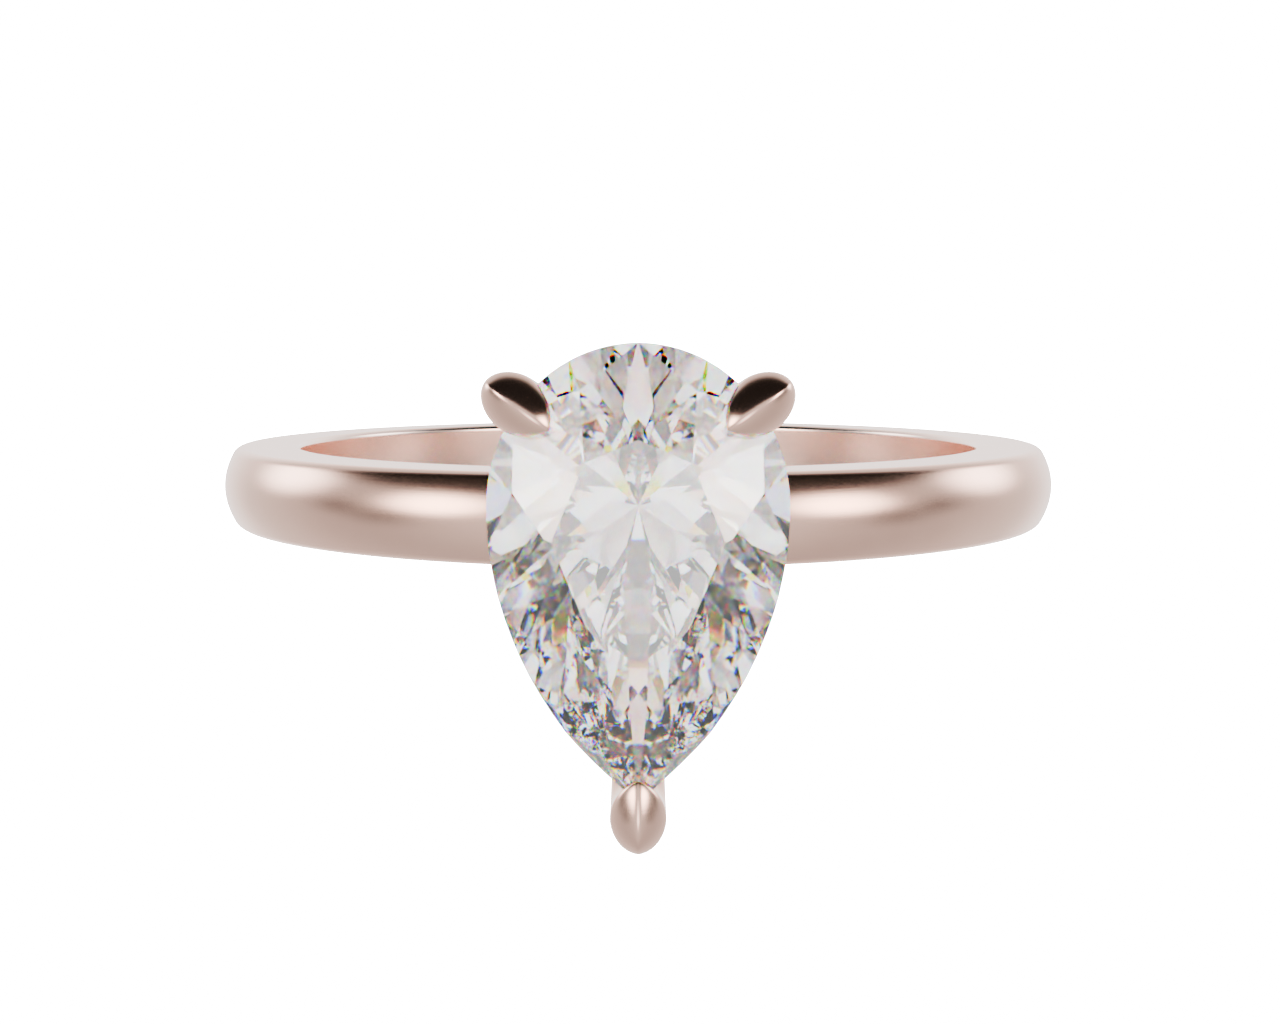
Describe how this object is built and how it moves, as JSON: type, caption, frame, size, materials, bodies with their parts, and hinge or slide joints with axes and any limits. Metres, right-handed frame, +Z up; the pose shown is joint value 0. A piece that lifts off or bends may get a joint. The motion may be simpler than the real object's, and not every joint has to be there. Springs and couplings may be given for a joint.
{
  "type": "engagement ring",
  "caption": "Solitaire ring: a low-dome band with a raised head whose ridged claws hold a pear-shaped brilliant.",
  "frame": {"origin": "centre of the finger hole, midway along its width", "axes": "+Z up through the head to the stone's table, Y along the finger axis with the stone's round end at +Y and its point at -Y, X across the hand"},
  "size_m": [0.02, 0.0089, 0.024],
  "materials": {
    "rose_gold": "polished 14k rose gold",
    "diamond": "polished brilliant facets"
  },
  "bodies": {
    "root": {"shank": "rose_gold", "base_rail": "rose_gold", "gallery_rail": "rose_gold", "head_peg": "rose_gold", "left_claw": "rose_gold", "right_claw": "rose_gold", "point_claw": "rose_gold", "diamond": "diamond"}
  },
  "joints": []
}
